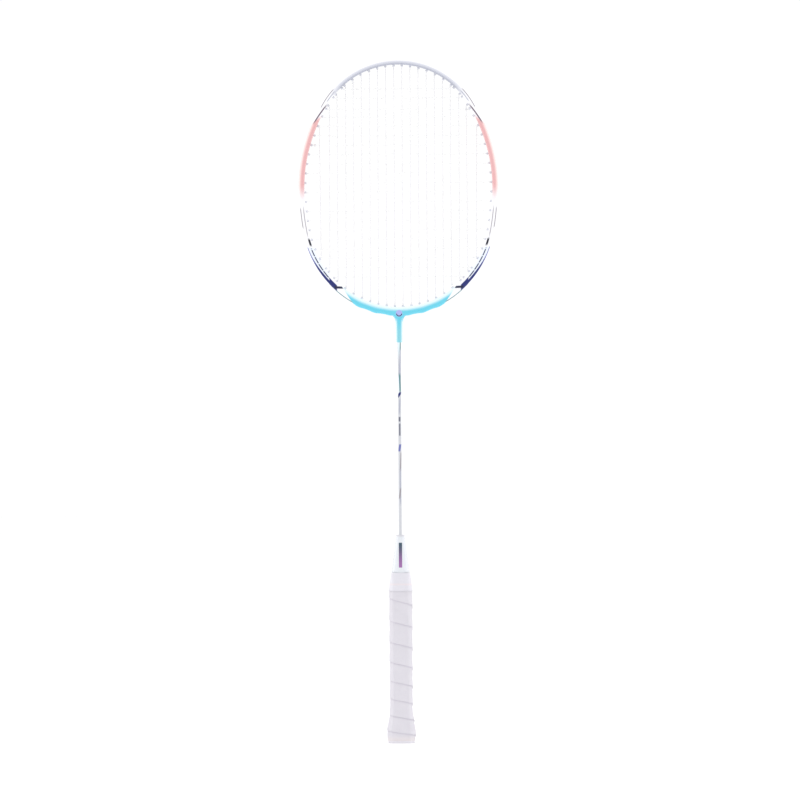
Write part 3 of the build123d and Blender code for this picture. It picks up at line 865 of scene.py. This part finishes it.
def make_hoop():
    rows = []
    insets = []
    for facing in even_facings(hoop_stations):
        nx, nz = rim_normal(facing)
        width = rim_width_at(facing)
        x, z = outside_line.point(facing)
        swell = swell_at(x, z)
        row = []
        inset_row = []
        for d, y in hoop_section(width):
            share = d / width
            on_wall = abs(y) > groove_width / 2 - 0.01
            out = swell * (1 - share) ** 2 if on_wall else 0.0
            row.append((x + nx * (out - d), y, z + nz * (out - d)))
            inset_row.append(share)
        rows.append(row)
        insets.append(inset_row)
    mesh = grid_mesh("hoop", [(np.array(rows), {"inset": np.array(insets)})], loop_along=True)
    finish_piece("hoop", mesh, hoop_lacquer, ["head_frame"], 50)


make_hoop()

# --- throat -----------------------------------------------------------------------------
fairing_length = 26.8
fairing_bottom_z = rim_bottom_z - fairing_length
fairing_overrun = 1.6       # how far its top runs up into the hoop
flare_overrun = 0.3         # how far above the rim's underside the flare is full
row_crowding = 1.6          # over 1, the rows are closer together towards the flare
fairing_straight = 8.0
fairing_neck = (8.3, 8.1)
fairing_flare = (19.0, 9.2)
fairing_flare_height = 5.0
fairing_rows = 70
fairing_around = 72
shaft_diameter = 7.0


def ease(share):
    return (1 - math.cos(math.pi * share)) / 2


def fairing_size_at(z):
    """Width and depth: round at the shaft, easing to the neck, then a hollow curve outwards."""
    straight_top_z = fairing_bottom_z + fairing_straight
    flare_z = rim_bottom_z - fairing_flare_height
    up_neck = min(1, max(0, (z - straight_top_z) / (flare_z - straight_top_z)))
    up_flare = min(1, max(0, (z - flare_z) / (fairing_flare_height + flare_overrun)))
    spread = 1 - math.sqrt(1 - up_flare ** 2)
    return [shaft_diameter + (neck - shaft_diameter) * ease(up_neck) + (flare - neck) * spread
            for neck, flare in zip(fairing_neck, fairing_flare)]


def make_fairing():
    top_z = rim_bottom_z + fairing_overrun
    rows = []
    for row in range(fairing_rows + 1):
        share = row / fairing_rows
        z = fairing_bottom_z + (top_z - fairing_bottom_z) * (1 - (1 - share) ** row_crowding)
        width, depth = fairing_size_at(z)
        ring = []
        for k in range(fairing_around):
            angle = math.tau * k / fairing_around
            ring.append((width / 2 * math.cos(angle), depth / 2 * math.sin(angle), z))
        rows.append(ring)
    mesh = grid_mesh("throat", [(np.array(rows), {})])
    finish_piece("throat_flare", mesh, make_throat_paint(), ["throat_fairing"],
                 50)


make_fairing()

# --- strings ----------------------------------------------------------------------------
weave_height = string_radius + 0.01      # strings that cross clear each other by twice 0.01
weave_steps = 4


def crossing(first, second):
    """Where two lines in the bed cross, as a share along the first."""
    (ax, az), (bx, bz) = first
    (cx, cz), (dx, dz) = second
    size = (bx - ax) * (dz - cz) - (bz - az) * (dx - cx)
    along = ((cx - ax) * (dz - cz) - (cz - az) * (dx - cx)) / size
    other = ((cx - ax) * (bz - az) - (cz - az) * (bx - ax)) / size
    return along, other


main_lines = [(main_holes[x, -1].mouth(), main_holes[x, 1].mouth()) for x in main_xs]
cross_lines = [(cross_holes[z, -1].mouth(), cross_holes[z, 1].mouth()) for z in cross_zs]


def crossings_on(kind, number):
    """(share along this run, which side of the bed it passes on) in order along it."""
    own_lines, other_lines = ((main_lines, cross_lines) if kind == "main"
                              else (cross_lines, main_lines))
    found = []
    for other_number, other in enumerate(other_lines):
        along, across = crossing(own_lines[number], other)
        if 0 < along < 1 and 0 < across < 1:
            sign = 1 if (number + other_number) % 2 else -1
            found.append((along, sign if kind == "main" else -sign))
    return sorted(found)


def woven_run(kind, number, backwards):
    """Points of one run of string across the bed, over and under the others."""
    start, end = (main_lines if kind == "main" else cross_lines)[number]
    resting_y = main_plane_y if kind == "main" else -main_plane_y
    knots = [(0.0, resting_y)]
    for share, side in crossings_on(kind, number):
        knots.append((share, side * weave_height))
    knots.append((1.0, resting_y))
    points = []
    for (share, y), (next_share, next_y) in zip(knots, knots[1:]):
        for k in range(weave_steps):
            part = k / weave_steps
            at = share + (next_share - share) * part
            points.append(Vector((start[0] + (end[0] - start[0]) * at,
                                  y + (next_y - y) * ease(part),
                                  start[1] + (end[1] - start[1]) * at)))
    points.append(Vector((end[0], resting_y, end[1])))
    return points[::-1] if backwards else points


def towards(start, target, distance):
    length = math.dist(start, target)
    return (start[0] + (target[0] - start[0]) * distance / length,
            start[1] + (target[1] - start[1]) * distance / length)


def make_string(kind, runs):
    """One whole string: tail, loops in the groove and woven runs, with a coil at each end."""
    y = main_plane_y if kind == "main" else -main_plane_y
    other = "cross" if kind == "main" else "main"
    corners = []
    radii = []
    coils = []

    def add(place, radius):
        corners.append(Vector((place[0], y, place[1])))
        radii.append(radius)

    def add_loop(first, last):
        add(first.loop(), string_bend)
        for hole in holes_between(first, last):
            add(hole.loop(), loop_bend)
        add(last.loop(), string_bend)

    def add_tail(tie, last):
        mouth = tie.mouth()
        far = opposite_mouth(tie, other)
        coils.append((mouth, far))
        ends = [(towards(mouth, far, knot_setback), 0), (mouth, string_bend)]
        for place, radius in ends[::-1] if last else ends:
            add(place, radius)

    tie = tie_off_hole(runs[0][0], kind)
    add_tail(tie, last=False)
    add_loop(tie, runs[0][0])
    lines = main_lines if kind == "main" else cross_lines
    for number, (first, last) in enumerate(runs):
        backwards = math.dist(lines[number][0], first.mouth()) > 1e-6
        points = woven_run(kind, number, backwards)
        corners.extend(points)
        radii.extend([string_bend] + [0] * (len(points) - 2) + [string_bend])
        if number + 1 < len(runs):
            add_loop(last, runs[number + 1][0])
    tie = tie_off_hole(runs[-1][1], kind)
    add_loop(runs[-1][1], tie)
    add_tail(tie, last=True)

    path = rounded_path(corners, radii)
    grid = tube_grid(path, string_radius)
    mesh = grid_mesh(f"{kind}_string", [(grid, {"length": length_column(path, grid)})])
    finish_piece(f"{kind}_string_woven", mesh, string_nylon[kind], [f"{kind}_string"],
                 60)
    make_coils(kind, coils, y)


def length_column(path, grid):
    """Distance along a path at each point of its tube, in millimetres."""
    steps = [0.0]
    for before, after in zip(path, path[1:]):
        steps.append(steps[-1] + (after - before).length)
    return np.repeat(np.array(steps)[:, None], grid.shape[1], axis=1)


coil_turns = 2.4
coil_pitch = 0.74
coil_steps = 14
tail_length = 1.6
tail_steps = 4
tail_spread = 0.25
coil_slimness = 0.97        # share of the string's radius, so that a coil clears its string


def make_coils(kind, coils, y):
    """The knots: each tail wound round the string that passes through its grommet."""
    grids = []
    for mouth, far in coils:
        run = Vector((far[0] - mouth[0], 0, far[1] - mouth[1])).normalized()
        out = Vector((0, 1 if y > 0 else -1, 0))
        side = run.cross(out)
        radius = abs(2 * y)
        origin = Vector((mouth[0], -y, mouth[1])) + run * knot_setback
        path = []
        for k in range(int(coil_turns * coil_steps) + 1):
            turn = k / coil_steps
            angle = math.tau * turn
            path.append(origin + run * (coil_pitch * turn)
                        + (out * math.cos(angle) + side * math.sin(angle)) * radius)
        leaving = (path[-1] - path[-2]).normalized()
        away = (path[-1] - origin - run * (path[-1] - origin).dot(run)).normalized()
        for k in range(1, tail_steps + 1):
            heading = (leaving + away * tail_spread * k).normalized()
            path.append(path[-1] + heading * tail_length / tail_steps)
        grid = tube_grid(path, string_radius * coil_slimness)
        grids.append((grid, {"length": length_column(path, grid)}))
    mesh = grid_mesh(f"{kind}_coils", grids)
    finish_piece(f"{kind}_string_coils", mesh, string_nylon[kind], [f"{kind}_knots"],
                 60)


make_string("main", main_runs)
make_string("cross", cross_runs)


# --- grip -------------------------------------------------------------------------------
corner_round = 3.0
flat_steps = 12
corner_steps = 8


def grip_size_at(z):
    if z < butt_widest_z:
        inward = butt_roundness * (1 - math.sqrt(1 - ((butt_widest_z - z) / butt_widest_z) ** 2))
        return butt_width - inward, butt_depth - inward
    if z < flare_top_z:
        share = ease((z - butt_widest_z) / (flare_top_z - butt_widest_z))
        return (butt_width + (grip_width - butt_width) * share,
                butt_depth + (grip_depth - butt_depth) * share)
    if z < taper_start_z:
        return grip_width, grip_depth
    share = (z - taper_start_z) / (cone_base_z - taper_start_z)
    return (grip_width + (taper_top_width - grip_width) * share,
            grip_depth + (taper_top_depth - grip_depth) * share)


def grip_section(z, rounding=corner_round):
    """Points and outward directions round the handle's eight rounded sides at a height, from
    the middle of the front, anticlockwise from above."""
    width, depth = grip_size_at(z)
    x = width / 2 - rounding
    y = depth / 2 - rounding
    cut = grip_corner * (width / grip_width) - rounding * (2 - math.sqrt(2))
    corners = [(x - cut, -y), (x, cut - y), (x, y - cut), (x - cut, y),
               (cut - x, y), (-x, y - cut), (-x, cut - y), (cut - x, -y)]
    places = []
    facings = []
    for i, corner in enumerate(corners):
        before = corners[i - 1]
        face = -90 + 45 * i
        for k in range(flat_steps):
            share = (k + 0.5) / flat_steps
            places.append((before[0] + (corner[0] - before[0]) * share,
                           before[1] + (corner[1] - before[1]) * share))
            facings.append(face)
        for k in range(corner_steps):
            places.append(corner)
            facings.append(face + 45 * (k + 0.5) / corner_steps)
    half = flat_steps // 2
    places = places[half:] + places[:half]
    facings = facings[half:] + facings[:half]
    normals = [(math.cos(math.radians(f)), math.sin(math.radians(f))) for f in facings]
    points = [(p[0] + n[0] * rounding, p[1] + n[1] * rounding) for p, n in zip(places, normals)]
    return points, normals


section_count = 8 * (flat_steps + corner_steps)


def shares_round():
    """Share of the way round the grip at each point of the section."""
    points, _ = grip_section(90.0)
    closed = points + points[:1]
    steps = [math.dist(a, b) for a, b in zip(closed, closed[1:])]
    return np.concatenate([[0], np.cumsum(steps)[:-1]]) / sum(steps)


section_shares = shares_round()
seam_start = 10.0       # height of the first seam at the middle of the front
seam_pitch = 14.6       # the turns lie closer at the butt and open out up the handle
seam_growth = 0.55
grip_bottom_z = 2.2
grip_top_z = 157.0
overlap = 3.2
strip_first_turn = -1.32
strip_last_turn = 7.75


def seam_z(turn):
    return seam_start + seam_pitch * turn + seam_growth * turn * turn


lower_rows = (0.0, 0.0, 0.08, 0.25, 0.5, 0.9, 1.6, 2.6, 4.0, 5.5)
upper_rows = (4.0, 2.8, 1.8, 1.0, 0.45, 0.0, -0.8, -1.8, -overlap)
lip_radius = 0.5
ride_height = 0.42
dip_depth = 0.3
tuck_depth = 0.30
pull_in = 0.4           # the soft strip settles this far below its nominal surface
ride_fade = 8.0         # height over which the strip comes down from the turn under it
dip_fade = 5.0
skin = 0.02             # least gap between the strip's inside and what is under it
bed_gap = 0.03
least_thickness = 0.05
full_room = 11.0        # a turn with less room than this is squeezed
run_in = 5.0            # the first turn lies flat, and starts to ride over this height
step_off = 2.5
plain_rows = 4
merge_distance = 0.000004       # metres


def outer_offset(up, below, riding):
    """Height of the strip's face over the grip's nominal surface, from the distance up from
    its own lower edge and the distance below the next turn's edge."""
    lift = ride_height * riding * (1 - smoothstep(up / ride_fade))
    lift -= dip_depth * (1 - smoothstep(below / dip_fade))
    if below < 0:
        lift -= tuck_depth * min(1.0, -below / overlap)
    if up < lip_radius:
        short = 1 - up / lip_radius
        lift -= lip_radius * 0.9 * (1 - math.sqrt(max(0.0, 1 - short * short)))
    return lift


def wrinkle(x, y, z, up, turn):
    """Soft unevenness of the wound strip: stretch folds along it, and stronger folds at the
    butt's corners."""
    stretch = noise.noise(Vector((up * 0.42, turn * 3.4, 0.0)))
    stretch *= smoothstep(0.5 + 1.5 * noise.noise(Vector((turn * 2.1, up * 0.06, 5.0))))
    place = Vector((x * 0.11, y * 0.11, z * 0.16))
    bumps = 0.10 * noise.noise(place)
    bumps += 0.05 * noise.noise(Vector((x * 0.4, y * 0.4, z * 0.3)))
    near_butt = 1 - smoothstep((z - 3.0) / 14.0)
    at_corner = smoothstep((min(abs(x), abs(y)) - 5.0) / 4.0)
    ripple = noise.noise(Vector((x * 0.55, y * 0.55, z * 0.18)))
    return bumps + 0.26 * stretch + 0.4 * near_butt * at_corner * ripple


def make_grip():
    sections = {}

    def section(z):
        key = round(z, 1)
        if key not in sections:
            sections[key] = grip_section(key)
        return sections[key]

    stations = []
    folds = []
    first = int(math.ceil(strip_first_turn * section_count))
    last = int(strip_last_turn * section_count)
    for step in range(first, last + 1):
        index = -step % section_count
        lap = -step // section_count
        turn = -(section_shares[index] + lap)
        low = seam_z(turn)
        high = seam_z(turn + 1)
        riding = smoothstep((low - grip_bottom_z) / run_in)
        start = max(low, grip_bottom_z)
        room = max(high - start, 0.3)
        squeeze = min(1.0, room / full_room)
        heights = [start + d * squeeze for d in lower_rows]
        middle_low = heights[-1]
        middle_high = start + room - upper_rows[0] * squeeze
        for k in range(1, plain_rows + 1):
            heights.append(middle_low + (middle_high - middle_low) * k / (plain_rows + 1))
        heights += [start + room - e * squeeze for e in upper_rows]
        outer = []
        inner = []
        seam_shade_row = []
        for k, z in enumerate(heights):
            z = min(z, grip_top_z)
            up = z - low
            below = high - z
            points, normals = section(z)
            (px, py), (nx, ny) = points[index], normals[index]
            lift = outer_offset(up if riding > 0 else 99.0, below, riding)
            under = -grip_thickness + skin
            if up < overlap and riding > 0:
                under = max(under, (-dip_depth - tuck_depth * up / overlap + bed_gap) * riding
                            + under * (1 - riding))
            elif up < overlap + step_off and riding > 0:
                part = smoothstep((up - overlap) / step_off)
                top = -dip_depth - tuck_depth + bed_gap
                under = (top + (under - top) * part) * riding + under * (1 - riding)
            fade = 1.0 if below > -0.5 else 0.3
            lift += wrinkle(px, py, z, up, turn) * fade
            lift = under + skin if k == 0 else max(lift, under + least_thickness)
            lift -= pull_in
            under = max(under - pull_in, skin - grip_thickness)
            outer.append((px + nx * lift, py + ny * lift, z))
            inner.append((px + nx * under, py + ny * under, z))
            # Where the painted seam shadow goes: under the next turn's edge and along the strip's
            # own lower edge.
            edge = (1 - smoothstep(below / 1.6)) if below > 0 else 1.0
            lip = 1 - smoothstep(up / 0.4) if riding > 0 else 0.0
            seam_shade_row.append(max(edge, lip))
        stations.append(outer + inner[::-1])
        folds.append(seam_shade_row + [1.0] * len(inner))
    mesh = grid_mesh("grip", [(np.array(stations), {"seam_shade": np.array(folds)})])
    ready = bmesh.new()
    ready.from_mesh(mesh)
    bmesh.ops.remove_doubles(ready, verts=ready.verts, dist=merge_distance)
    bmesh.ops.dissolve_degenerate(ready, edges=ready.edges, dist=merge_distance / 2)
    ready.to_mesh(mesh)
    ready.free()
    finish_piece("grip_strip", mesh, make_grip_leather(), ["grip_wrap"], 60)


make_grip()

# --- finishing tape ---------------------------------------------------------------------
band_bottom_z = 150.0
band_top_z = 167.9
band_thickness = 0.35
band_step_z = 157.2         # where the upper lap's edge crosses
band_step = 0.16
band_slope = 1.1            # how far the edge wanders up and down round the handle
band_extra_rounding = 3.4   # the corners soften by this much up to the cone
band_settle = 0.3
band_settle_z = 154.0
band_edge_drop = 0.18
band_rows = 46
inner_row_step = 6


def make_band():
    """Tape in two laps, the upper one thinner where it runs on to the cone."""
    stations = []
    for row in range(band_rows + 1):
        z = band_bottom_z + (band_top_z - band_bottom_z) * row / band_rows
        share = (z - band_bottom_z) / (band_top_z - band_bottom_z)
        points, normals = grip_section(z, corner_round + band_extra_rounding * smoothstep(share))
        ring = []
        for index, ((px, py), (nx, ny)) in enumerate(zip(points, normals)):
            slope = band_slope * math.sin(math.tau * section_shares[index] + 0.6)
            lift = band_thickness + 0.05
            lift -= band_step * smoothstep((z - band_step_z - slope) / 0.35)
            lift += 0.05 * noise.noise(Vector((px * 0.2, py * 0.2, z * 0.9)))
            lift -= band_settle * (1 - smoothstep((z - band_settle_z) / 8.0))
            edge = min(z - band_bottom_z, band_top_z - z)
            lift -= band_edge_drop * (1 - smoothstep(edge / 0.25))
            ring.append((px + nx * lift, py + ny * lift, z))
        stations.append(ring)
    inner = []
    for row in range(band_rows, -1, -inner_row_step):
        z = band_bottom_z + (band_top_z - band_bottom_z) * row / band_rows
        points, normals = grip_section(z, corner_round + 1.0)
        depth = 0.06 if z < grip_top_z + 0.6 else -1.0
        if z >= cone_base_z - 6.0:
            depth = -1.05
        inner.append([(px + nx * depth, py + ny * depth, z)
                      for (px, py), (nx, ny) in zip(points, normals)])
    mesh = grid_mesh("band", [(np.array(stations + inner), {})], loop_along=True)
    finish_piece("grip_finishing_tape", mesh, make_band_tape(), ["grip_band"], 50)


make_band()


# --- floor, lights and camera, in metres ------------------------------------------------
floor_half = 12.0
sky_strength = 1.02
light_target = (0, 0, 0.4)
softboxes = (
    # Name, place, width and height, watts.
    ("left_softbox", (-1.7, 0.35, 0.6), (1.2, 2.0), 7),
    ("right_softbox", (1.7, 0.35, 0.6), (1.2, 2.0), 6),
    ("top_softbox", (0, -0.2, 2.4), (1.6, 1.6), 12),
)
sensor_width = 36.0
view_height = 0.7895
camera_distance = 6.0
camera_roll = 0.33
view_centre = Vector((0.0004, 0.0, 0.3382))


def make_floor():
    mesh = bpy.data.meshes.new("floor")
    corners = [(x * floor_half, y * floor_half, 0) for x, y in ((-1, -1), (1, -1), (1, 1), (-1, 1))]
    mesh.from_pydata(corners, [], [(0, 1, 2, 3)])
    floor = bpy.data.objects.new("floor", mesh)
    bpy.context.scene.collection.objects.link(floor)
    paint = Paint("pale_floor", 0.8, Specular_IOR_Level=0.1)
    shade = paint.mix(paint.noise(0.02, 2.0), (0.995, 0.995, 0.995), (1.0, 1.0, 1.0))
    paint.put(paint.shader.inputs["Base Color"], shade)
    mesh.materials.append(paint.material)
    floor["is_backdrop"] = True


def add_light(name, place, size, power):
    light = bpy.data.lights.new(name, "AREA")
    light.shape = "RECTANGLE"
    light.size, light.size_y = size
    light.energy = power
    lamp = bpy.data.objects.new(name, light)
    bpy.context.scene.collection.objects.link(lamp)
    lamp.location = place
    lamp.rotation_euler = (Vector(light_target) - Vector(place)).to_track_quat("-Z", "Y").to_euler()


def make_camera():
    data = bpy.data.cameras.new("camera")
    data.sensor_width = sensor_width
    data.lens = sensor_width * camera_distance / view_height
    data.clip_start, data.clip_end = 0.05, 50.0
    camera = bpy.data.objects.new("camera", data)
    bpy.context.scene.collection.objects.link(camera)
    camera.location = view_centre + Vector((0, -camera_distance, 0))
    camera.rotation_euler = (math.radians(90), math.radians(camera_roll), 0)
    bpy.context.scene.camera = camera


def make_world():
    world = bpy.data.worlds.new("studio")
    bpy.context.scene.world = world
    world.use_nodes = True
    background = world.node_tree.nodes["Background"]
    background.inputs["Color"].default_value = (1, 1, 1, 1)
    background.inputs["Strength"].default_value = sky_strength


make_floor()
make_world()
for softbox in softboxes:
    add_light(*softbox)
make_camera()
bpy.context.scene.view_settings.view_transform = "Standard"

low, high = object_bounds()
